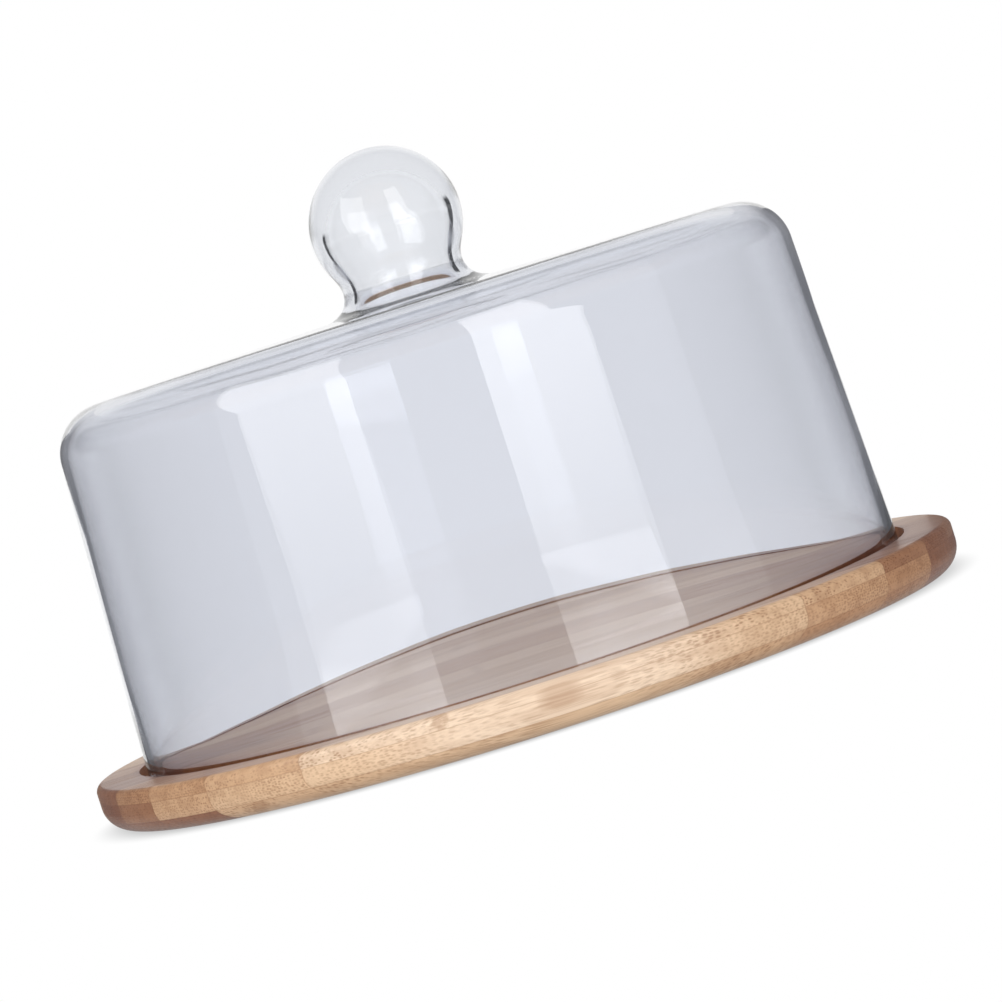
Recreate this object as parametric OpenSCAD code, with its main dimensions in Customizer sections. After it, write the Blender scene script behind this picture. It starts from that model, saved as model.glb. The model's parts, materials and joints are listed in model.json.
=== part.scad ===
// Glass cake dome with a hollow ball knob, standing in the ring groove of a round bamboo board.
// The board is glued up from beams of three lamellae each, and its grain runs along X.
// The origin is the centre of the board's underside, and +Z points up through the knob.

/* [Board] */
// Diameter of the board
board_d = 300; // [290:1:330]
// Thickness of the board
board_h = 16; // [15:0.5:20]
// Round along the board's top edge
top_edge_r = 2.5; // [1:0.5:3.5]
// Round along the board's bottom edge
bottom_edge_r = 8.5; // [4:0.5:10]
// Thickness of the core ply, the other two share the rest
core_ply_h = 6.5; // [5:0.5:6.5]
// Width of each lamella across the grain
lamella_w = 26; // [26:1:30]
// Distance from the board's centre to the nearest glue joint behind it
joint_shift = 4.2; // [2:0.1:10]

/* [Ring groove] */
// Outer diameter of the groove
groove_outer_d = 269; // [268.5:0.5:272]
// Inner diameter of the groove
groove_inner_d = 254; // [250:0.5:255]
// Depth of the groove
groove_depth = 3.5; // [2:0.25:3.5]

/* [Glass dome] */
// Outer diameter of the dome at its rim
rim_d = 263.8; // [262:0.2:264]
// Outer diameter of the dome where the shoulder starts
shoulder_d = 255.8; // [250:0.2:258]
// Height from the rim to the edge of the crown
dome_h = 125; // [100:1:160]
// Outer radius of the shoulder
shoulder_r = 17; // [12:0.5:24]
// How far the crown rises from its edge to the knob
crown_rise = 1.9; // [0.5:0.1:4]
// Thickness of the blown wall
glass_wall = 2.5; // [2:0.1:3]
// Air left between the rim and the groove's floor
seat_gap = 0.1; // [0.05:0.05:0.3]

/* [Knob] */
// Outer diameter of the ball knob
knob_d = 52; // [48:0.5:56]
// Outer diameter of the neck at its narrowest
neck_d = 41.6; // [36:0.2:42]
// Height from the crown to the centre of the ball
knob_rise = 26.6; // [25:0.2:29]
// Diameter of the hollow inside the ball
hollow_d = 42.8; // [38:0.2:43]
// Narrowest diameter of the open bore through the neck
bore_d = 32.8; // [28:0.2:33]
// How far the hollow's centre lies below the ball's, which leaves the knob heavier on top
hollow_drop = 2.5; // [1:0.1:3]

/* [Hidden] */
// Steps along a quarter turn of an outline
arc_steps = 12;
// Length that cutting boxes run past the wood
over = 1;
board_r = board_d / 2;
ply_names = ["bottom", "core", "top"];
outer_ply_h = (board_h - core_ply_h) / 2;
ply_floor = [0, outer_ply_h, outer_ply_h + core_ply_h];
ply_h = [outer_ply_h, core_ply_h, outer_ply_h];
// Beams on each side of the board's centre line, and in all
beams_in_front = ceil((board_r + joint_shift) / lamella_w);
beams_behind = ceil((board_r - joint_shift) / lamella_w);
beam_count = beams_in_front + beams_behind;
front_joint_y = joint_shift - beams_in_front * lamella_w;
// Wood tones from light to dark, and which of them each beam has in the bottom, core and top ply
wood_tones = ["#e3c190", "#d2a56b", "#b98450", "#8f5c38"];
beam_tones = [
    [1, 1, 2, 3, 3, 2, 1, 2, 0, 3, 1, 2],
    [0, 0, 0, 2, 3, 1, 0, 2, 1, 0, 2, 1],
    [1, 0, 1, 2, 1, 3, 2, 0, 1, 2, 0, 1]
];
// Facets around a full turn when the model is drawn as a mesh
turn_facets = 180;

rim_z = board_h - groove_depth + seat_gap;
rim_r = rim_d / 2;
shoulder_outer_r = shoulder_d / 2;
crown_edge_z = rim_z + dome_h;
crown_z = crown_edge_z + crown_rise;
knob_z = crown_z + knob_rise;
hollow_z = knob_z - hollow_drop;

function lamella_name(ply, beam) = str(ply_names[ply], "_lamella_", beam < 10 ? "0" : "", beam);

// Points along an arc about a centre, from one angle to another
function arc(centre, r, from, to) =
    let (steps = ceil(abs(to - from) / 90 * arc_steps))
    [for (i = [0 : steps]) let (a = from + (to - from) * i / steps) centre + r * [cos(a), sin(a)]];

// Radius of the hollow arc that touches a flat and a ball whose centre is rise above that flat,
// and that leaves a throat of the given radius
function throat_arc_r(rise, ball_r, throat_r) =
    let (reach = rise + ball_r - throat_r)
    reach - sqrt(reach * reach - (throat_r * throat_r + rise * rise - ball_r * ball_r));

// Outline of crown, neck and ball, from the shoulder inward and up to the axis
function knob_outline(flat_z, ball_z, ball_r, throat_r) =
    let (
        fillet = throat_arc_r(ball_z - flat_z, ball_r, throat_r),
        fillet_c = [throat_r + fillet, flat_z + fillet],
        meet = atan2(fillet_c[1] - ball_z, fillet_c[0])
    )
    concat(arc(fillet_c, fillet, 270, 180 + meet), arc([0, ball_z], ball_r, meet, 90));

// Outline of wall and shoulder from the rim up, inset by the wall's thickness for the inside
function shell_outline(inset) =
    let (shoulder_c = [shoulder_outer_r - shoulder_r, crown_edge_z - shoulder_r])
    concat([[rim_r - inset, rim_z + glass_wall / 2]], arc(shoulder_c, shoulder_r - inset, 0, 90));

module glass_dome() {
    outside = concat(
        shell_outline(0),
        knob_outline(crown_z, knob_z, knob_d / 2, neck_d / 2)
    );
    inside = concat(
        shell_outline(glass_wall),
        knob_outline(crown_z - glass_wall, hollow_z, hollow_d / 2, bore_d / 2)
    );
    rim_c = [rim_r - glass_wall / 2, rim_z + glass_wall / 2];
    rim = arc(rim_c, glass_wall / 2, 180, 360);
    inward = [for (i = [len(inside) - 1 : -1 : 1]) inside[i]];
    color([0.82, 0.88, 0.93, 0.35])
        rotate_extrude($fn = turn_facets)
            polygon(concat(inward, rim, [for (i = [1 : len(outside) - 1]) outside[i]]));
}

// Half outline of the board, with the ring groove cut into its top
module board_outline() {
    difference() {
        polygon(concat(
            [[0, 0]],
            arc([board_r - bottom_edge_r, bottom_edge_r], bottom_edge_r, 270, 360),
            arc([board_r - top_edge_r, board_h - top_edge_r], top_edge_r, 0, 90),
            [[0, board_h]]
        ));
        translate([groove_inner_d / 2, board_h - groove_depth])
            square([(groove_outer_d - groove_inner_d) / 2, groove_depth + over]);
    }
}

// One lamella: the part of the board that lies in one ply of one beam, counted from the front
module lamella(ply, beam) {
    tones = beam_tones[ply];
    color(wood_tones[tones[(beam - 1) % len(tones)]])
        intersection() {
            rotate_extrude($fn = turn_facets) board_outline();
            translate([-board_r - over, front_joint_y + (beam - 1) * lamella_w, ply_floor[ply]])
                cube([board_d + 2 * over, lamella_w, ply_h[ply]]);
        }
}

glass_dome();
for (ply = [0 : len(ply_names) - 1])
    for (beam = [1 : beam_count])
        lamella(ply, beam);
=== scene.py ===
"""A blown glass cake dome with a ball knob, standing in the ring groove of a laminated bamboo board.

Everything is in metres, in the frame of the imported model: the board lies on z = 0 with its centre on the
Z axis, and the bamboo's grain runs along X.
"""
import json
import math

import bpy
from mathutils import Matrix, Quaternion, Vector, noise


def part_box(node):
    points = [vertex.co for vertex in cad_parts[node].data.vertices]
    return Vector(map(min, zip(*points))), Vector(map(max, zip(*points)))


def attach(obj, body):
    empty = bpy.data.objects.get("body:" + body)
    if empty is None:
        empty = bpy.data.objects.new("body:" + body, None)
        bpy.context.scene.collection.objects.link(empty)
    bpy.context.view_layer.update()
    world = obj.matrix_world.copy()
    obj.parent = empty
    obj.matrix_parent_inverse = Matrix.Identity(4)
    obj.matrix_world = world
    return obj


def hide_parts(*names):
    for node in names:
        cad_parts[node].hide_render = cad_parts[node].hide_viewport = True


MM = 0.001
WHITE = (1.0, 1.0, 1.0, 1.0)
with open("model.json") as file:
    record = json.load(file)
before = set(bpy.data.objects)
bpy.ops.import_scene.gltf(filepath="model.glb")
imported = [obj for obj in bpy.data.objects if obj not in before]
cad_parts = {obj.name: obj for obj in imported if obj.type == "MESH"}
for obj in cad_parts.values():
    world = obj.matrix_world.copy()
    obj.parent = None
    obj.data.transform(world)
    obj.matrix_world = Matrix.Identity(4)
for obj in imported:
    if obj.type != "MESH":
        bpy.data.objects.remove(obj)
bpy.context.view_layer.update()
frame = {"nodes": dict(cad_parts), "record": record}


# ---------------------------------------------------------------- helpers

def new_object(name, data):
    """A new object in the scene."""
    made = bpy.data.objects.new(name, data)
    bpy.context.scene.collection.objects.link(made)
    return made


def new_material(name):
    """An empty node material, its nodes and its links."""
    material = bpy.data.materials.new(name)
    material.use_nodes = True
    tree = material.node_tree
    tree.nodes.clear()
    return material, tree


def feed(tree, socket, value):
    """Links a socket to an input, or sets the input to a number, vector or colour."""
    if isinstance(value, bpy.types.NodeSocket):
        tree.links.new(value, socket)
    elif value is not None:
        socket.default_value = value


def add(tree, kind, **settings):
    """Adds a node and sets its properties, or its inputs where a name is given as in_Name."""
    node = tree.nodes.new(kind)
    for key, value in settings.items():
        if key.startswith("in_"):
            feed(tree, node.inputs[key[3:].replace("_", " ")], value)
        else:
            setattr(node, key, value)
    return node


def math_node(tree, operation, a, b=None, c=None):
    """A maths node on numbers or sockets, and its result."""
    node = add(tree, "ShaderNodeMath", operation=operation)
    for socket, value in zip(node.inputs, (a, b, c)):
        feed(tree, socket, value)
    return node.outputs[0]


def vector_node(tree, operation, a, b=None):
    """A vector maths node, and its result."""
    node = add(tree, "ShaderNodeVectorMath", operation=operation)
    for socket, value in zip(node.inputs, (a, b)):
        feed(tree, socket, value)
    return node.outputs["Value"] if operation == "LENGTH" else node.outputs[0]


def mix_colour(tree, share, a, b, blend="MIX"):
    """Mixes two colours by a share from 0 to 1."""
    node = add(tree, "ShaderNodeMix", data_type="RGBA", blend_type=blend)
    for name, value in (("Factor_Float", share), ("A_Color", a), ("B_Color", b)):
        feed(tree, next(s for s in node.inputs if s.identifier == name), value)
    return next(s for s in node.outputs if s.identifier == "Result_Color")


def tinted(tree, colour, tint):
    """A colour multiplied by a tint."""
    return mix_colour(tree, 1.0, colour, tint, "MULTIPLY")


def smooth_range(tree, value, low, high, to_low=0.0, to_high=1.0):
    """Maps a value from low..high to to_low..to_high with soft ends."""
    node = add(tree, "ShaderNodeMapRange", interpolation_type="SMOOTHSTEP")
    for name, number in (("From Min", low), ("From Max", high), ("To Min", to_low), ("To Max", to_high)):
        node.inputs[name].default_value = number
    tree.links.new(value, node.inputs["Value"])
    return node.outputs["Result"]


def noise_value(tree, place, scale, detail=2.0):
    """The value of a noise texture, most of it near 0.5."""
    return add(tree, "ShaderNodeTexNoise", in_Vector=place, in_Scale=scale, in_Detail=detail).outputs[0]


def object_place(tree):
    """Where the shaded point is in its object's own frame."""
    return add(tree, "ShaderNodeTexCoord").outputs["Object"]


def split(tree, vector):
    """The x, y and z of a vector."""
    return add(tree, "ShaderNodeSeparateXYZ", in_Vector=vector).outputs


def has_bounced(tree, path, kind):
    """1 for light with at least one bounce of a kind, such as Glossy, and 0 for all other light."""
    return math_node(tree, "GREATER_THAN", path.outputs[f"{kind} Depth"], 0.5)


def mix_shaders(tree, share, first, second):
    """Mixes two shader nodes by a share from 0 to 1."""
    mixed = add(tree, "ShaderNodeMixShader", in_Fac=share)
    tree.links.new(first.outputs[0], mixed.inputs[1])
    tree.links.new(second.outputs[0], mixed.inputs[2])
    return mixed


def set_surface(tree, shader, output="ShaderNodeOutputMaterial"):
    """Makes a shader node the surface of a material, or of the world with the world's output."""
    out = add(tree, output)
    tree.links.new(shader.outputs[0], out.inputs["Surface"])


# ---------------------------------------------------------------- bamboo

BOARD_H = 16 * MM
GROOVE_IN, GROOVE_OUT = 127 * MM, 134.5 * MM

# Bamboo from pale (0) to dark (4)
PALETTE = [(0.73, 0.585, 0.46), (0.66, 0.48, 0.32), (0.57, 0.375, 0.225), (0.44, 0.24, 0.122),
           (0.22, 0.085, 0.040)]
SLOT_TONES = {"light_bamboo": 1.0, "golden_bamboo": 2.0, "brown_bamboo": 3.0, "dark_bamboo": 4.0}
# Tones of the front beams at their left end, middle and right end: their own tones, with painted shade
# darkening the board's ends
FRONT_TONES_AND_SHADE = {
    "bottom": [(2.1, 1.7, 2.4), (2.2, 2.2, 3.1), (3.9, 3.0, 3.4),
               (3.9, 3.4, 4.0), (4.0, 3.4, 4.0), (4.0, 3.0, 4.0)],
    "core": [(1.6, 0.5, 1.8), (2.0, 1.5, 2.7), (2.5, 1.5, 3.2),
             (3.7, 2.6, 3.9), (4.0, 3.0, 4.0), (3.6, 2.0, 3.6)],
    "top": [(0.7, 0.5, 1.8), (2.4, 1.0, 2.3), (2.7, 1.2, 3.6),
            (3.2, 1.8, 3.9), (3.9, 1.1, 3.7), (3.6, 2.4, 3.6)],
}
# Further back, the top ply is lighter than its slots say, and every lamella has painted shade darkening its
# ends
TOP_SHARE, TOP_SHIFT = 0.8, 0.1
PAINTED_END_SHADE = 0.8
# Where the ends' tones stop and the middle's begins, as shares of the way to the end
END_SHARE, MIDDLE_SHARE = 0.85, 0.3
# Tints of dense wood, of loose wood, and of the painted shade in and beside the groove
DARKER = (0.58, 0.45, 0.36, 1.0)
LIGHTER = (1.16, 1.17, 1.18, 1.0)
GROOVE_SHADE_TINT = (0.66, 0.40, 0.22, 1.0)

# How far each lamella's texture is moved from the one before it, and a hash that places its knuckle
PLACE_STEP = (0.37, 0.11, 0.23)
HASH_TURN, HASH_SCALE = 12.9898, 43758.5453
BEND_SCALE, FIBRE_BEND = 9.0, 4 * MM
# Textures per metre, and how much their x is pressed together to draw them out along the fibres
BUNDLE_SCALE, BUNDLE_PRESS, BUNDLE_RANDOM = 1250.0, 0.012, 0.6
FINE_SCALE, COARSE_SCALE, STREAK_PRESS = 1900.0, 260.0, 0.02
BROAD_SCALE, RAGGED_SCALE = 22.0, 420.0
# Texture values at which each feature starts and ends, then its strength there
DOT = (0.18, 0.46, 1.0, 0.0)
HALO, HALO_SHARE = (0.34, 0.62), 0.6
DOT_STRENGTH = (0.1, 0.9, 0.35, 1.0)
DOTS_TO_THE_SIDE = (0.02, 0.07, 0.3, 1.0)
STREAK, STREAK_CALM = (0.36, 0.66), 0.55
BAND = (0.40, 0.68, 0.0, 0.38)
PATCH = (0.35, 0.68, 0.0, 0.30)
KNUCKLE = (0.6 * MM, 3.2 * MM, 0.55, 0.0)
KNUCKLE_REACH, KNUCKLE_RAG = 0.11, 0.010
GLUE_LINE = (0.02 * MM, 0.22 * MM, 0.5, 0.0)
# How far from the groove the painted shade reaches on the top, and how dark it makes the walls and the top
GROOVE_SHADE_IN, GROOVE_SHADE_OUT = 8 * MM, 3 * MM
GROOVE_WALL_SHADE, GROOVE_TOP_SHADE = 0.75, 0.8
INNER_WALL = (GROOVE_IN - 0.4 * MM, GROOVE_IN + 0.1 * MM)
OUTER_WALL = (GROOVE_OUT - 0.1 * MM, GROOVE_OUT + 0.4 * MM)
BELOW_TOP = (BOARD_H - 0.5 * MM, BOARD_H - 0.05 * MM)
ABOVE_GROOVE_FLOOR = (BOARD_H - 3.6 * MM, BOARD_H - 3.4 * MM)
# Finish: roughness along a fine streak, the part a dot adds, the coat of oil and the relief
STREAK_ROUGHNESS = (0.3, 0.7, 0.30, 0.44)
DOT_ROUGHNESS = 0.15
OIL, OIL_ROUGHNESS = 0.10, 0.28
STREAK_RELIEF, DOT_RELIEF, GLUE_RELIEF = 0.5, 0.35, 0.8
RELIEF_STRENGTH, RELIEF_HEIGHT = 0.22, 0.12 * MM


def palette(tone):
    """A bamboo colour from its place on the palette, which stays just short of the last colour."""
    place = min(max(tone, 0.0), len(PALETTE) - 1.001)
    paler, darker = PALETTE[int(place)], PALETTE[int(place) + 1]
    return (*(a + (b - a) * (place % 1.0) for a, b in zip(paler, darker)), 1.0)


def fibre_places(tree, place, seed):
    """The point moved by the lamella's own step, and the same along fibres that bend a little."""
    moved = vector_node(tree, "ADD", place, tuple(seed * step for step in PLACE_STEP))
    slow = add(tree, "ShaderNodeTexNoise", in_Vector=moved, in_Scale=BEND_SCALE, in_Detail=1.0)
    drift = vector_node(tree, "SUBTRACT", slow.outputs["Color"], (0.5, 0.5, 0.5))
    bend = vector_node(tree, "MULTIPLY", drift, (0.0, FIBRE_BEND, FIBRE_BEND))
    return moved, vector_node(tree, "ADD", moved, bend)


def base_colour(tree, x, tones, low, high):
    """The lamella's colour, which drifts from its left end over its middle to its right end; darker ends
    hold painted shade as well as the wood's own tone.
    """
    left, middle, right = (palette(tone) for tone in tones)
    to_middle = smooth_range(tree, x, low[0] * END_SHARE, low[0] * MIDDLE_SHARE)
    to_right = smooth_range(tree, x, high[0] * MIDDLE_SHARE, high[0] * END_SHARE)
    return mix_colour(tree, to_right, mix_colour(tree, to_middle, left, middle), right)


def bundles(tree, x, fibres):
    """Bundles 0.8 mm apart, drawn out along X: how much a point is in a dot, in a strong dot, in a halo."""
    place = vector_node(tree, "MULTIPLY", fibres, (BUNDLE_PRESS, 1.0, 1.0))
    cells = add(tree, "ShaderNodeTexVoronoi", in_Vector=place, in_Scale=BUNDLE_SCALE,
                in_Randomness=BUNDLE_RANDOM)
    dot = smooth_range(tree, cells.outputs["Distance"], *DOT)
    halo = smooth_range(tree, cells.outputs["Distance"], *HALO)
    cell_tone = add(tree, "ShaderNodeSeparateColor", in_Color=cells.outputs["Color"]).outputs[0]
    spot = math_node(tree, "MULTIPLY", dot, smooth_range(tree, cell_tone, *DOT_STRENGTH))
    to_the_side = smooth_range(tree, math_node(tree, "ABSOLUTE", x), *DOTS_TO_THE_SIDE)
    return dot, math_node(tree, "MULTIPLY", spot, to_the_side), halo


def knuckle(tree, x, moved, seed):
    """Where the culm had a node: a short ragged band across the fibres."""
    ragged = noise_value(tree, moved, RAGGED_SCALE, 3.0)
    shift = math_node(tree, "MULTIPLY", math_node(tree, "SUBTRACT", ragged, 0.5), KNUCKLE_RAG)
    chance = math.sin(seed * HASH_TURN) * HASH_SCALE % 1.0
    knuckle_x = -KNUCKLE_REACH + 2 * KNUCKLE_REACH * chance
    off = math_node(tree, "SUBTRACT", math_node(tree, "ADD", x, shift), knuckle_x)
    return smooth_range(tree, math_node(tree, "ABSOLUTE", off), *KNUCKLE)


def glue_lines(tree, y, z, low, high):
    """Thin lines along the lamella's four long faces."""
    lines = []
    for value, near, far in ((y, low[1], high[1]), (z, low[2], high[2])):
        off = math_node(tree, "ABSOLUTE", math_node(tree, "SUBTRACT", value, (near + far) / 2))
        inset = math_node(tree, "SUBTRACT", (far - near) / 2, off)
        lines.append(smooth_range(tree, inset, *GLUE_LINE))
    return math_node(tree, "MAXIMUM", *lines)


def painted_groove_shade(tree, x, y, z):
    """How much painted shade darkens a point, on the groove's walls and on the top beside them, where the
    glass's foot stands.
    """
    radius = vector_node(tree, "LENGTH", add(tree, "ShaderNodeCombineXYZ", in_X=x, in_Y=y).outputs[0])
    walls = math_node(
        tree, "MULTIPLY",
        smooth_range(tree, radius, *INNER_WALL),
        smooth_range(tree, radius, *OUTER_WALL, 1.0, 0.0))
    below_top = smooth_range(tree, z, *BELOW_TOP, GROOVE_WALL_SHADE, 0.0)
    beside = math_node(
        tree, "MULTIPLY",
        smooth_range(tree, radius, GROOVE_IN - GROOVE_SHADE_IN, GROOVE_IN, 0.0, GROOVE_TOP_SHADE),
        smooth_range(tree, radius, GROOVE_OUT, GROOVE_OUT + GROOVE_SHADE_OUT, 1.0, 0.0))
    above_floor = smooth_range(tree, z, *ABOVE_GROOVE_FLOOR)
    return math_node(tree, "MAXIMUM", math_node(tree, "MULTIPLY", walls, below_top),
                     math_node(tree, "MULTIPLY", beside, above_floor))


def bamboo(name, tones, seed, low, high):
    """Bamboo whose fibres run along X, so long faces show streaks and cut ends show dots.

    The tones are those of the lamella's left end, middle and right end. low and high are its corners,
    where its glue lines are.
    """
    material, tree = new_material(name)
    place = object_place(tree)
    x, y, z = split(tree, place)
    moved, fibres = fibre_places(tree, place, seed)
    dot, spot, halo = bundles(tree, x, fibres)
    streaks = vector_node(tree, "MULTIPLY", fibres, (STREAK_PRESS, 1.0, 1.0))
    fine = noise_value(tree, streaks, FINE_SCALE)
    coarse = noise_value(tree, streaks, COARSE_SCALE)
    broad = noise_value(tree, moved, BROAD_SCALE)
    glue = glue_lines(tree, y, z, low, high)

    base = base_colour(tree, x, tones, low, high)
    dark = tinted(tree, base, DARKER)
    light = tinted(tree, base, LIGHTER)
    grain = mix_colour(tree, smooth_range(tree, fine, *STREAK), dark, light)
    grain = mix_colour(tree, STREAK_CALM, grain, base)
    grain = mix_colour(tree, math_node(tree, "MULTIPLY", halo, HALO_SHARE), grain, light)
    grain = mix_colour(tree, spot, grain, dark)
    grain = mix_colour(tree, smooth_range(tree, coarse, *BAND), grain, dark)
    grain = mix_colour(tree, smooth_range(tree, broad, *PATCH), grain, light)
    grain = mix_colour(tree, knuckle(tree, x, moved, seed), grain, dark)
    grain = mix_colour(tree, glue, grain, dark)
    # Painted shade in the groove and around the glass's foot
    colour = mix_colour(tree, painted_groove_shade(tree, x, y, z), grain, tinted(tree, grain, GROOVE_SHADE_TINT))

    roughness = math_node(tree, "ADD", smooth_range(tree, fine, *STREAK_ROUGHNESS),
                          math_node(tree, "MULTIPLY", spot, DOT_ROUGHNESS))
    height = math_node(tree, "SUBTRACT", math_node(tree, "MULTIPLY", fine, STREAK_RELIEF),
                       math_node(tree, "MULTIPLY", dot, DOT_RELIEF))
    height = math_node(tree, "SUBTRACT", height, math_node(tree, "MULTIPLY", glue, GLUE_RELIEF))
    bump = add(tree, "ShaderNodeBump", in_Strength=RELIEF_STRENGTH, in_Distance=RELIEF_HEIGHT,
               in_Height=height)
    set_surface(tree, add(
        tree, "ShaderNodeBsdfPrincipled", in_Base_Color=colour, in_Roughness=roughness,
        in_Coat_Weight=OIL, in_Coat_Roughness=OIL_ROUGHNESS, in_Normal=bump.outputs[0]))
    return material


def finish_board():
    """Gives every lamella its own bamboo, with the front's tones or by its slot in the record."""
    slots = {s["node"]: s["material_slot"] for s in frame["record"]["subparts"]}
    lamellae = sorted(n for n in frame["nodes"] if "_lamella_" in n)
    for index, name in enumerate(lamellae):
        low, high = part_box(name)
        ply, beam = name.split("_lamella_")
        # The front's tones carry painted shade towards the board's left and right ends
        front = FRONT_TONES_AND_SHADE[ply]
        if int(beam) <= len(front):
            tones = front[int(beam) - 1]
        else:
            tone = SLOT_TONES[slots[name]]
            if ply == "top":
                tone = tone * TOP_SHARE + TOP_SHIFT
            # Painted shade at the lamella's two ends, where the board's ends fall out of the light
            tones = (tone + PAINTED_END_SHADE, tone, tone + PAINTED_END_SHADE)
        material = bamboo(f"{name}_wood", tones, index + 1.0, low, high)
        frame["nodes"][name].material_slots[0].material = material


# ---------------------------------------------------------------- glass

WALL = 2.5 * MM
SHOULDER_OUTER = 127.9 * MM
SHOULDER_R = 17 * MM
CROWN_RISE = 1.9 * MM
BALL_R = 26 * MM
BALL_RISE = 26.6 * MM
NECK_R = 20.6 * MM
# How far the changes of curvature are eased outside the knob and inside it
KNOB_EASE, KNOB_WALL_EASE = 2.2 * MM, 1.2 * MM
# The knob's wall by height above the crown, as (height, thickness)
KNOB_WALL = [(0.0, 2.5 * MM), (1.1 * MM, 4.1 * MM), (2.4 * MM, 4.9 * MM), (4.1 * MM, 4.9 * MM),
             (8 * MM, 4.4 * MM), (28 * MM, 4.6 * MM), (52.6 * MM, 7.0 * MM)]
# Where the crown's own points end and the knob's begin, outside the neck
KNOB_MARGIN = 9 * MM
# The inner skin: waves all over, slow and quick, with their scale across, their scale up and their share
WAVES = 0.10 * MM
SLOW_WAVE, QUICK_WAVE = (14, 9, 0.7), (45, 30, 0.3)
QUICK_WAVE_SHIFT = 7
# Its lobes by height, as (height, share of LOBE)
LOBE = 0.7 * MM
LOBE_HEIGHTS = [(14 * MM, 0.0), (20 * MM, -0.5), (52 * MM, 0.5), (120 * MM, 0.0)]
LOBE_TURN = math.radians(-2.7)
LOBE_COUNT = 3
# Points along an outline and round a turn, degrees between an arc's points, and spacing on the knob
WALL_STEPS, CROWN_STEPS, TURN_STEPS = 40, 24, 288
BALL_STEP, SHOULDER_STEP, NECK_STEP, RIM_STEP = 2.5, 3, 4, 20
KNOB_SPACING = 0.5 * MM
# How far the softening looks, in times its own reach
SOFTENING_TAIL = 3

WALL_TINT = (0.853, 0.867, 0.909, 1.0)
KNOB_TINT = (0.915, 0.926, 0.948, 1.0)
KNOB_TINT_HEIGHTS = (138.5 * MM, 146 * MM)
GLASS_IOR = 1.5
# Its skin: a slow draw, and seeds, the tiny bubbles that come with a rub on the surface
DRAW_SCALE, DRAW_RELIEF = 70.0, 0.02
SEED_SCALE, SEED_SIZE, SEED_RUB, SEED_ROUGHNESS = 55.0, 0.028, 0.03, 0.25
SKIN_STRENGTH, SKIN_HEIGHT = 0.12, 0.4 * MM


def arc(centre, radius, start, end, step):
    """Points along an arc in the r-z plane, angles in degrees."""
    count = max(2, math.ceil(abs(end - start) / step))
    angles = [math.radians(start + (end - start) * i / count) for i in range(count + 1)]
    return [(centre[0] + radius * math.cos(a), centre[1] + radius * math.sin(a)) for a in angles]


def line(start, end, count):
    """Points between two points, without either end."""
    return [(start[0] + (end[0] - start[0]) * i / count, start[1] + (end[1] - start[1]) * i / count)
            for i in range(1, count)]


def knob_outline(flat_z, ball_z, ball_r, throat_r):
    """Neck and ball from the crown up to the axis: one hollow arc that touches both, then the ball."""
    rise = ball_z - flat_z
    reach = rise + ball_r - throat_r
    fillet = reach - math.sqrt(reach ** 2 - (throat_r ** 2 + rise ** 2 - ball_r ** 2))
    centre = (throat_r + fillet, flat_z + fillet)
    meet = math.degrees(math.atan2(centre[1] - ball_z, centre[0]))
    neck = arc(centre, fillet, 270, 180 + meet, NECK_STEP)
    return neck + arc((0, ball_z), ball_r, meet, 90, BALL_STEP)[1:]


def evened(points, spacing):
    """The same outline with points at an even spacing."""
    lengths = [0.0]
    for (r0, z0), (r1, z1) in zip(points, points[1:]):
        lengths.append(lengths[-1] + math.hypot(r1 - r0, z1 - z0))
    count = round(lengths[-1] / spacing)
    result, k = [], 0
    for i in range(count + 1):
        at = lengths[-1] * i / count
        while k < len(points) - 2 and lengths[k + 1] < at:
            k += 1
        share = (at - lengths[k]) / (lengths[k + 1] - lengths[k])
        result.append(tuple(a + (b - a) * share for a, b in zip(points[k], points[k + 1])))
    return result


def softened(points, reach):
    """An outline that ends on the axis, with its changes of curvature eased as hot glass eases them."""
    points = evened(points, KNOB_SPACING)
    count = round(SOFTENING_TAIL * reach / KNOB_SPACING)
    start, end = points[0], points[-1]
    before = [(2 * start[0] - r, 2 * start[1] - z) for r, z in points[count:0:-1]]
    after = [(-r, z) for r, z in points[-2:-count - 2:-1]]
    line_up = before + points + after
    weights = [math.exp(-0.5 * (k * KNOB_SPACING / reach) ** 2) for k in range(-count, count + 1)]
    total = sum(weights)
    result = []
    for i in range(len(points)):
        near = line_up[i:i + 2 * count + 1]
        result.append(tuple(sum(w * p[axis] for w, p in zip(weights, near)) / total for axis in (0, 1)))
    result[-1] = (0.0, result[-1][1])
    return result


def inset_knob(points, crown_z):
    """The knob's inside: its outside moved in by the local thickness of the glass."""
    result = []
    for i, (r, z) in enumerate(points):
        before, after = points[max(i - 1, 0)], points[min(i + 1, len(points) - 1)]
        along = Vector((after[0] - before[0], after[1] - before[1])).normalized()
        thickness = ramp(z - crown_z, KNOB_WALL)
        result.append((r - along.y * thickness, z + along.x * thickness))
    result[-1] = (0.0, result[-1][1])
    return softened(result, KNOB_WALL_EASE)


def shell_outline(rim_r, rim_z, top_z, inset):
    """Wall, shoulder and crown from the rim inward, inset from the outside by the wall's thickness."""
    centre = (SHOULDER_OUTER - SHOULDER_R, top_z - SHOULDER_R)
    shoulder = arc(centre, SHOULDER_R - inset, 0, 90, SHOULDER_STEP)
    foot = (rim_r - inset, rim_z + WALL / 2)
    crown_end = (NECK_R + KNOB_MARGIN, top_z + CROWN_RISE - inset)
    wall = line(foot, shoulder[0], WALL_STEPS)
    return [foot] + wall + shoulder + line(shoulder[-1], crown_end, CROWN_STEPS)


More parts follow.
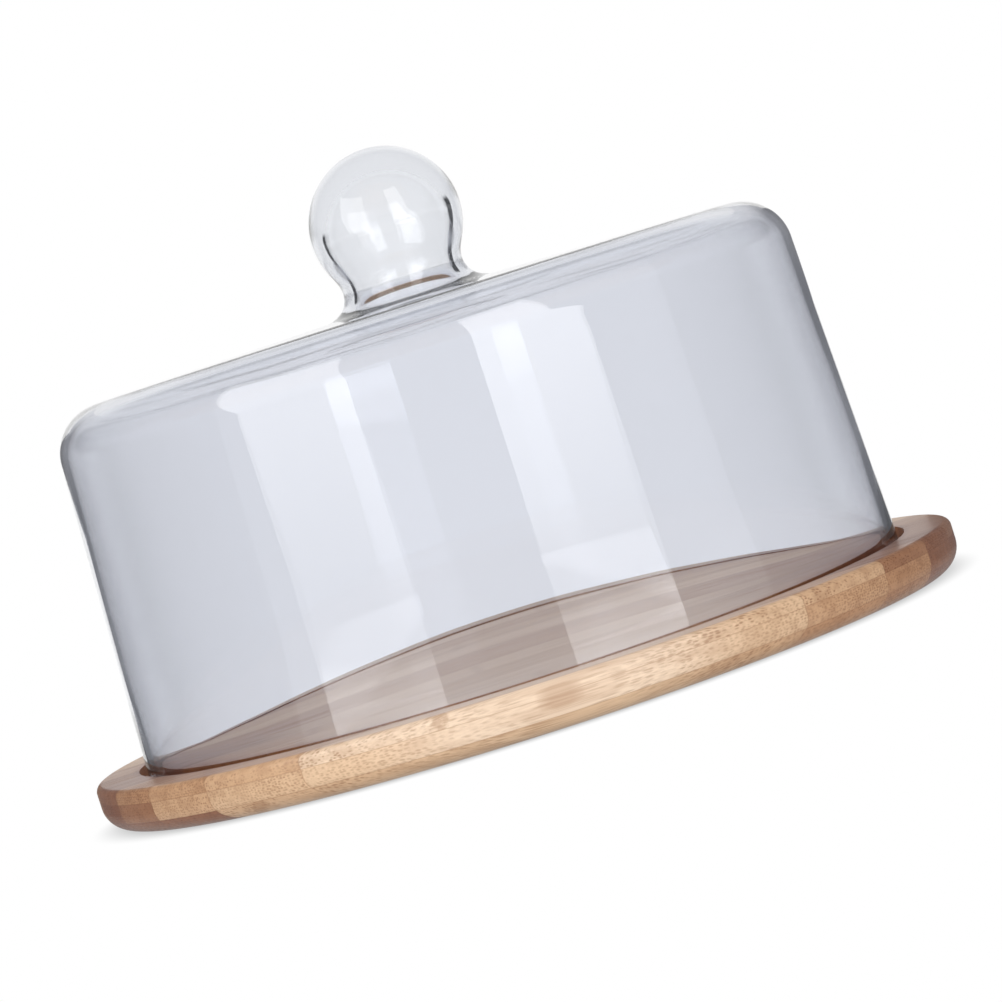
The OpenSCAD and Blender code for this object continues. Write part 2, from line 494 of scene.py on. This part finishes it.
def dome_outline():
    """The dome's cut face in three parts: from the knob's hollow down, round the rim, and up outside."""
    low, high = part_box("glass_dome")
    rim_r, rim_z = high.x, low.z
    ball_z = high.z - BALL_R
    crown_z = ball_z - BALL_RISE
    top_z = crown_z - CROWN_RISE
    knob_outside = softened(knob_outline(crown_z, ball_z, BALL_R, NECK_R), KNOB_EASE)
    knob_inside = inset_knob(knob_outside, crown_z)
    outside = shell_outline(rim_r, rim_z, top_z, 0) + knob_outside
    inside = shell_outline(rim_r, rim_z, top_z, WALL) + knob_inside
    rim = arc((rim_r - WALL / 2, rim_z + WALL / 2), WALL / 2, 180, 360, RIM_STEP)
    return inside[::-1][:-1], rim, outside[1:]


def ramp(value, points):
    """Straight lines through (position, height) points."""
    if value <= points[0][0]:
        return points[0][1]
    for (x0, y0), (x1, y1) in zip(points, points[1:]):
        if value <= x1:
            return y0 + (y1 - y0) * (value - x0) / (x1 - x0)
    return points[-1][1]


def wave(point, shift, across, up, share):
    """A slow random value at a point, which changes faster across than up."""
    return share * noise.noise(Vector((point.x * across + shift, point.y * across, point.z * up)))


def blown(point, normal):
    """How far the blowing moved the inner skin here.

    Near its foot the wall thickens upward in front and thins upward at the sides, in three lobes
    round the turn, and slow waves run over all of it.
    """
    waves = (wave(point, 0, *SLOW_WAVE) + wave(point, QUICK_WAVE_SHIFT, *QUICK_WAVE)) * WAVES
    turn = math.atan2(point.x, -point.y)
    lobes = -LOBE * ramp(point.z, LOBE_HEIGHTS) * math.cos(LOBE_COUNT * (turn - LOBE_TURN))
    return normal * (waves + lobes)


def turned_rows(outline, skin_rows):
    """The vertices of an outline turned about Z, and each row's vertex numbers.

    The outline starts and ends on the axis, where a row is a single vertex. Its first rows are the
    inner skin, which is a little uneven, as blown glass is.
    """
    vertices, rows = [], []
    for i, (r, z) in enumerate(outline):
        if i in (0, len(outline) - 1):
            rows.append([len(vertices)])
            vertices.append(Vector((0, 0, z)))
            continue
        before, after = outline[i - 1], outline[i + 1]
        slope = Vector((after[1] - before[1], 0, before[0] - after[0])).normalized()
        rows.append(list(range(len(vertices), len(vertices) + TURN_STEPS)))
        for k in range(TURN_STEPS):
            turn = Matrix.Rotation(2 * math.pi * k / TURN_STEPS, 3, "Z")
            place = turn @ Vector((r, 0, z))
            if i < skin_rows:
                place += blown(place, turn @ slope)
            vertices.append(place)
    return vertices, rows


def turned_faces(rows):
    """Faces between neighbouring rows: triangles to a single vertex, and quads everywhere else."""
    faces = []
    for a, b in zip(rows, rows[1:]):
        for k in range(TURN_STEPS):
            n = (k + 1) % TURN_STEPS
            if len(a) == 1:
                faces.append((a[0], b[n], b[k]))
            elif len(b) == 1:
                faces.append((a[k], a[n], b[0]))
            else:
                faces.append((a[k], a[n], b[n], b[k]))
    return faces


def lathe(name, inside, rim, outside):
    """A closed turned mesh from its cut face: the inner skin, the rim and the outside."""
    vertices, rows = turned_rows(inside + rim + outside, len(inside))
    mesh = bpy.data.meshes.new(name)
    mesh.from_pydata([tuple(v) for v in vertices], [], turned_faces(rows))
    mesh.update()
    for polygon in mesh.polygons:
        polygon.use_smooth = True
    return new_object(name, mesh)


def clear_glass():
    """Faintly blue-grey soda glass with a few seeds and rubs in its skin, clearer in the knob."""
    material, tree = new_material("blown_glass")
    place = object_place(tree)
    seeds = add(tree, "ShaderNodeTexVoronoi", in_Vector=place, in_Scale=SEED_SCALE).outputs["Distance"]
    draw = math_node(tree, "MULTIPLY", noise_value(tree, place, DRAW_SCALE), DRAW_RELIEF)
    height = math_node(tree, "ADD", draw, smooth_range(tree, seeds, 0.0, SEED_SIZE, 1.0, 0.0))
    bump = add(tree, "ShaderNodeBump", in_Strength=SKIN_STRENGTH, in_Distance=SKIN_HEIGHT, in_Height=height)
    roughness = smooth_range(tree, seeds, 0.0, SEED_RUB, SEED_ROUGHNESS, 0.0)
    in_knob = smooth_range(tree, split(tree, place)[2], *KNOB_TINT_HEIGHTS)
    set_surface(tree, add(
        tree, "ShaderNodeBsdfPrincipled", in_Base_Color=mix_colour(tree, in_knob, WALL_TINT, KNOB_TINT),
        in_Roughness=roughness, in_IOR=GLASS_IOR, in_Transmission_Weight=1.0, in_Normal=bump.outputs[0]))
    return material


def make_dome():
    """The dome as one turned piece in place of the CAD's. Clear glass casts no shadow on the board."""
    dome = lathe("blown_glass_dome", *dome_outline())
    dome.data.materials.append(clear_glass())
    dome.visible_shadow = False
    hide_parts("glass_dome")
    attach(dome, "dome")


# ---------------------------------------------------------------- studio

CAMERA_DISTANCE = 1.449
EYE_HEIGHT = 129.3 * MM
CAMERA_AZIMUTH = -2.7
AIM_RIGHT, AIM_HEIGHT = 8.6 * MM, 65.5 * MM
CAMERA_ROLL = 17.6
LENS = 155.0
CLIP = (0.05, 100)

# Softboxes: their left and right edges as (elevation, azimuth) in degrees, and their radiance. The
# right one's outer edge is drawn in above, so that the crown seen from behind mirrors less of it
SOFTBOXES = {
    "softbox_left": ([(0, -56), (48, -77)], [(0, -23), (48, -29)], 2.8),
    "softbox_right": ([(0, 13), (48, 13)], [(4, 46), (12, 37)], 3.3),
}
# Their lowest and highest elevation, distance from the middle of the dome, and strips up and across
SOFTBOX_LOW, SOFTBOX_HIGH = -28, 48
SOFTBOX_FAR, SOFTBOX_MIDDLE = 1.3, 90 * MM
SOFTBOX_ROWS, SOFTBOX_COLUMNS = 38, 6
# Their radiance by height: dimmed low down, apart from a foot that lights the stripes' lower ends
SOFTBOX_DIMMED = (0.02, 0.25, 0.45, 1.0)
FOOT_BOTTOM = (-0.022, -0.006, 0.0, 1.05)
FOOT_TOP = (0.018, 0.052, 1.0, 0.0)

# Side flags: the nearest turn in degrees, then the distance, height and farthest turn of each row
FLAG_NEAR, FLAG_COLUMNS = 45, 12
FLAG_OUTLINE = [(166 * MM, 0.0, 112), (166 * MM, 95 * MM, 112), (166 * MM, 128 * MM, 124),
                (158 * MM, 148 * MM, 113), (136 * MM, 164 * MM, 113)]
# Their colours from low to high, and the heights where one passes into the next
FLAG_LOW, FLAG_HIGH = (0.20, 0.205, 0.225, 1.0), (0.30, 0.305, 0.33, 1.0)
FLAG_ROOF = (0.75, 0.76, 0.79, 1.0)
FLAG_HIGH_HEIGHTS, FLAG_ROOF_HEIGHTS = (100 * MM, 135 * MM), (146 * MM, 163 * MM)

# The lamp's radiance, side and height
OVERHEAD, OVERHEAD_SIZE, OVERHEAD_HEIGHT = 1.0, 1.6, 2.2

# The world, by the x, y and z of a direction in it. First the dark band along the horizon
BAND_MIDDLE = -0.02
BAND_OUTSIDE, BAND_TRAPPED = (0.12, 0.30), (0.20, 0.36)
# What the outside of a surface mirrors
BLACK_CLOTH = (0.03, 0.032, 0.036, 1.0)
CEILING = (0.40, 0.41, 0.43, 1.0)
ROOM_ABOVE, ROOM_BELOW = (0.2, 0.7, 0.45, 0.60), (-0.012, 0.004, 0.8, 0.0)
ROOM_IN_FRONT = (0.05, -0.60)
BACKDROP, BACKDROP_FOOT = (0.62, 0.85), (-0.15, -0.09, 0.25, 1.0)
# What light sees that was trapped inside a wall: a room with two dark cloths behind, left and right
CLOTH_TURN, CLOTH_EDGE = math.radians(53), (0.14, 0.20)
TRAPPED_ROOM = (0.86, 0.87, 0.89, 1.0)
# Soft light on the wood, from behind and from in front
SOFT_BEHIND, SOFT_IN_FRONT = (0.26, 0.265, 0.28, 1.0), (0.72, 0.735, 0.77, 1.0)
SOFT_TURN = (0.3, -0.9)

# Half the floor's side, and its glow by distance from the middle, dark only under the board's edge
FLOOR_HALF = 12.0
CONTACT_SHADOW = (138 * MM, 157 * MM, 0.50, 1.0)


def round_the_object(azimuth, distance, height):
    """A point round the object. Azimuth 0 is in front, on -Y, and positive is to the right of it."""
    a = math.radians(azimuth)
    return Vector((distance * math.sin(a), -distance * math.cos(a), height))


def make_camera():
    """A long lens in front, rolled as the photographer's was."""
    camera = new_object("camera", bpy.data.cameras.new("camera"))
    camera.data.lens = LENS
    camera.data.clip_start, camera.data.clip_end = CLIP
    camera.location = round_the_object(CAMERA_AZIMUTH, CAMERA_DISTANCE, EYE_HEIGHT)
    a = math.radians(CAMERA_AZIMUTH)
    aim = Vector((math.cos(a), math.sin(a), 0)) * AIM_RIGHT + Vector((0, 0, AIM_HEIGHT))
    level = (aim - camera.location).to_track_quat("-Z", "Y")
    camera.rotation_mode = "QUATERNION"
    camera.rotation_quaternion = level @ Quaternion((0, 0, 1), math.radians(-CAMERA_ROLL))
    bpy.context.scene.camera = camera


def stage_sheet(name, rows, material):
    """A curved sheet of the studio's own, from rows of points."""
    width = len(rows[0])
    faces = [(j * width + i, j * width + i + 1, (j + 1) * width + i + 1, (j + 1) * width + i)
             for j in range(len(rows) - 1) for i in range(width - 1)]
    mesh = bpy.data.meshes.new(name)
    mesh.from_pydata([tuple(p) for row in rows for p in row], [], faces)
    mesh.materials.append(material)
    sheet = new_object(name, mesh)
    sheet.visible_camera = False
    return sheet


def softbox(name, left_edge, right_edge, radiance):
    """A lit sheet that faces the object, between its two edges.

    It is dimmer low down, apart from its foot. It is clear from its back, and to light that only went
    through the glass without being mirrored.
    """
    rows = []
    for j in range(SOFTBOX_ROWS + 1):
        elevation = SOFTBOX_LOW + (SOFTBOX_HIGH - SOFTBOX_LOW) * j / SOFTBOX_ROWS
        left, right = ramp(elevation, left_edge), ramp(elevation, right_edge)
        lift = math.radians(elevation)
        distance = SOFTBOX_FAR * math.cos(lift)
        height = SOFTBOX_MIDDLE + SOFTBOX_FAR * math.sin(lift)
        turns = [CAMERA_AZIMUTH + left + (right - left) * i / SOFTBOX_COLUMNS
                 for i in range(SOFTBOX_COLUMNS + 1)]
        rows.append([round_the_object(turn, distance, height) for turn in turns])
    material, tree = new_material(name)
    z = split(tree, object_place(tree))[2]
    foot = math_node(tree, "MULTIPLY", smooth_range(tree, z, *FOOT_BOTTOM), smooth_range(tree, z, *FOOT_TOP))
    level = math_node(tree, "MAXIMUM", smooth_range(tree, z, *SOFTBOX_DIMMED), foot)
    glow = add(tree, "ShaderNodeEmission", in_Strength=math_node(tree, "MULTIPLY", level, radiance))
    path = add(tree, "ShaderNodeLightPath")
    straight = math_node(tree, "LESS_THAN", path.outputs["Glossy Depth"], 0.5)
    straight = math_node(tree, "MULTIPLY", straight, path.outputs["Is Transmission Ray"])
    behind = add(tree, "ShaderNodeNewGeometry").outputs["Backfacing"]
    unseen = math_node(tree, "MAXIMUM", straight, behind)
    set_surface(tree, mix_shaders(tree, unseen, glow, add(tree, "ShaderNodeBsdfTransparent")))
    sheet = stage_sheet(name, rows, material)
    sheet.data.flip_normals()


def dark_flag(name, side):
    """A dark card beside the wall that only mirror images show, and that darkens the wall's edge."""
    material, tree = new_material(name)
    z = split(tree, object_place(tree))[2]
    shade = mix_colour(tree, smooth_range(tree, z, *FLAG_HIGH_HEIGHTS), FLAG_LOW, FLAG_HIGH)
    shade = mix_colour(tree, smooth_range(tree, z, *FLAG_ROOF_HEIGHTS), shade, FLAG_ROOF)
    card = add(tree, "ShaderNodeEmission", in_Color=shade, in_Strength=1.0)
    is_mirrored = has_bounced(tree, add(tree, "ShaderNodeLightPath"), "Glossy")
    set_surface(tree, mix_shaders(tree, is_mirrored, add(tree, "ShaderNodeBsdfTransparent"), card))
    rows = []
    for distance, height, far_turn in FLAG_OUTLINE:
        turns = [FLAG_NEAR + (far_turn - FLAG_NEAR) * i / FLAG_COLUMNS for i in range(FLAG_COLUMNS + 1)]
        rows.append([round_the_object(side * turn, distance, height) for turn in turns])
    stage_sheet(name, rows, material)


def overhead_light():
    """A wide lamp over the object, which no glass mirrors or shows."""
    light = bpy.data.lights.new("overhead", "AREA")
    light.shape, light.size = "SQUARE", OVERHEAD_SIZE
    light.energy = OVERHEAD * math.pi * light.size ** 2
    lamp = new_object("overhead", light)
    lamp.location = (0, 0, OVERHEAD_HEIGHT)
    lamp.visible_glossy = False
    lamp.visible_transmission = False


def off_horizon(tree, height, dark, bright):
    """0 near the horizon and 1 well above or below it."""
    level = math_node(tree, "ABSOLUTE", math_node(tree, "SUBTRACT", height, BAND_MIDDLE))
    return smooth_range(tree, level, dark, bright)


def mirrored_outside(tree, y, z):
    """What the outside of a surface mirrors: a dark horizon, a lit backdrop and a grey room in front."""
    colour = mix_colour(tree, off_horizon(tree, z, *BAND_OUTSIDE), BLACK_CLOTH, CEILING)
    room_level = math_node(tree, "MAXIMUM", smooth_range(tree, z, *ROOM_ABOVE),
                           smooth_range(tree, z, *ROOM_BELOW))
    room = math_node(tree, "MULTIPLY", smooth_range(tree, y, *ROOM_IN_FRONT), room_level)
    colour = mix_colour(tree, room, colour, WHITE)
    backdrop = math_node(tree, "MULTIPLY", smooth_range(tree, y, *BACKDROP),
                         smooth_range(tree, z, *BACKDROP_FOOT))
    return mix_colour(tree, backdrop, colour, WHITE)


def mirrored_inside(tree, x, y, z):
    """What light trapped inside a wall sees: a brighter room with two dark cloths at the back."""
    turn = math_node(tree, "ABSOLUTE", math_node(tree, "ARCTAN2", x, y))
    off_cloth = math_node(tree, "ABSOLUTE", math_node(tree, "SUBTRACT", turn, CLOTH_TURN))
    lit = math_node(tree, "MAXIMUM", smooth_range(tree, off_cloth, *CLOTH_EDGE),
                    off_horizon(tree, z, *BAND_TRAPPED))
    return mix_colour(tree, lit, BLACK_CLOTH, TRAPPED_ROOM)


def make_world():
    """A white studio with its own colours for straight views, mirror images and soft light on wood."""
    world = bpy.data.worlds.new("studio")
    bpy.context.scene.world = world
    world.use_nodes = True
    tree = world.node_tree
    tree.nodes.clear()
    x, y, z = split(tree, add(tree, "ShaderNodeTexCoord").outputs["Generated"])
    path = add(tree, "ShaderNodeLightPath")
    trapped = math_node(tree, "COMPARE", path.outputs["Transmission Depth"], 2.0, 0.5)
    mirrored = mix_colour(tree, trapped, mirrored_outside(tree, y, z), mirrored_inside(tree, x, y, z))
    soft = mix_colour(tree, smooth_range(tree, y, *SOFT_TURN), SOFT_BEHIND, SOFT_IN_FRONT)
    colour = mix_colour(tree, has_bounced(tree, path, "Glossy"), WHITE, mirrored)
    colour = mix_colour(tree, has_bounced(tree, path, "Diffuse"), colour, soft)
    background = add(tree, "ShaderNodeBackground", in_Color=colour, in_Strength=1.0)
    set_surface(tree, background, "ShaderNodeOutputWorld")


def make_floor():
    """A wide plain white floor that darkens only close under the board, and that no glass mirrors."""
    mesh = bpy.data.meshes.new("floor")
    corners = [(-1, -1), (1, -1), (1, 1), (-1, 1)]
    mesh.from_pydata([(x * FLOOR_HALF, y * FLOOR_HALF, 0) for x, y in corners], [], [(0, 1, 2, 3)])
    floor = new_object("floor", mesh)
    material, tree = new_material("pale_floor")
    lit = smooth_range(tree, vector_node(tree, "LENGTH", object_place(tree)), *CONTACT_SHADOW)
    glow = add(tree, "ShaderNodeEmission", in_Color=WHITE, in_Strength=lit)
    is_mirrored = has_bounced(tree, add(tree, "ShaderNodeLightPath"), "Glossy")
    set_surface(tree, mix_shaders(tree, is_mirrored, glow, add(tree, "ShaderNodeBsdfTransparent")))
    mesh.materials.append(material)


def make_lights():
    """Two softboxes in front, which give the stripes and windows, a flag at each side, and a lamp above."""
    for name, (left_edge, right_edge, radiance) in SOFTBOXES.items():
        softbox(name, left_edge, right_edge, radiance)
    dark_flag("flag_left", -1)
    dark_flag("flag_right", 1)
    overhead_light()


# ---------------------------------------------------------------- the scene

finish_board()
make_dome()
make_camera()
make_world()
make_floor()
make_lights()
bpy.context.scene.view_settings.view_transform = "Standard"
